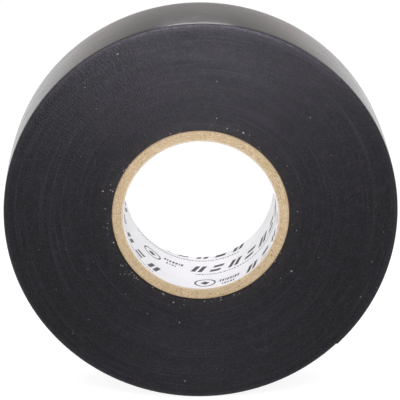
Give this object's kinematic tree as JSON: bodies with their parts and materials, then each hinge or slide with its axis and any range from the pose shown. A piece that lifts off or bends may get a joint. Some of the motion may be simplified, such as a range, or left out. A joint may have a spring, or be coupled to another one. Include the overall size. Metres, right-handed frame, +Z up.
{
  "type": "electrical tape roll",
  "caption": "Roll of black vinyl electrical tape wound on a spiral paperboard core with a printed white liner; its free end peels off.",
  "frame": {"origin": "centre of the core's bore, at mid-width of the tape", "axes": "+Y along the roll's axis, away from the front face; +Z up with the roll standing on its rim; +X to the right seen from the front"},
  "size_m": [0.0815, 0.019, 0.0813],
  "materials": {
    "printed_paper": "matte",
    "kraft_board": "matte",
    "vinyl_film": "satin"
  },
  "bodies": {
    "roll": {"printed_liner": "printed_paper", "core_ply_1": "kraft_board", "core_ply_2": "kraft_board", "core_ply_3": "kraft_board", "core_ply_4": "kraft_board", "core_ply_5": "kraft_board", "wound_tape": "vinyl_film"},
    "tail_1": {"tape_tail_1": "vinyl_film"},
    "tail_2": {"tape_tail_2": "vinyl_film"},
    "tail_3": {"tape_tail_3": "vinyl_film"},
    "tail_4": {"tape_tail_4": "vinyl_film"},
    "tail_5": {"tape_tail_5": "vinyl_film"}
  },
  "joints": [
    {"name": "tail_peel", "type": "hinge", "parent": "roll", "child": "tail_1", "pos_m": [0.04018, 0, 0.00708], "axis": [0, -1, 0], "range_deg": [0, 110]},
    {"name": "tail_flex_1", "type": "hinge", "parent": "tail_1", "child": "tail_2", "pos_m": [0.04079, 0, -0.00071], "axis": [0, -1, 0], "range_deg": [0, 10]},
    {"name": "tail_flex_2", "type": "hinge", "parent": "tail_2", "child": "tail_3", "pos_m": [0.03991, 0, -0.00849], "axis": [0, -1, 0], "range_deg": [0, 10]},
    {"name": "tail_flex_3", "type": "hinge", "parent": "tail_3", "child": "tail_4", "pos_m": [0.03755, 0, -0.01596], "axis": [0, -1, 0], "range_deg": [0, 10]},
    {"name": "tail_flex_4", "type": "hinge", "parent": "tail_4", "child": "tail_5", "pos_m": [0.03382, 0, -0.02284], "axis": [0, -1, 0], "range_deg": [0, 10]}
  ],
  "couplings": [
    {"joint": "tail_flex_1", "follows": "tail_peel", "ratio": 0.09},
    {"joint": "tail_flex_2", "follows": "tail_peel", "ratio": 0.09},
    {"joint": "tail_flex_3", "follows": "tail_peel", "ratio": 0.09},
    {"joint": "tail_flex_4", "follows": "tail_peel", "ratio": 0.09}
  ]
}
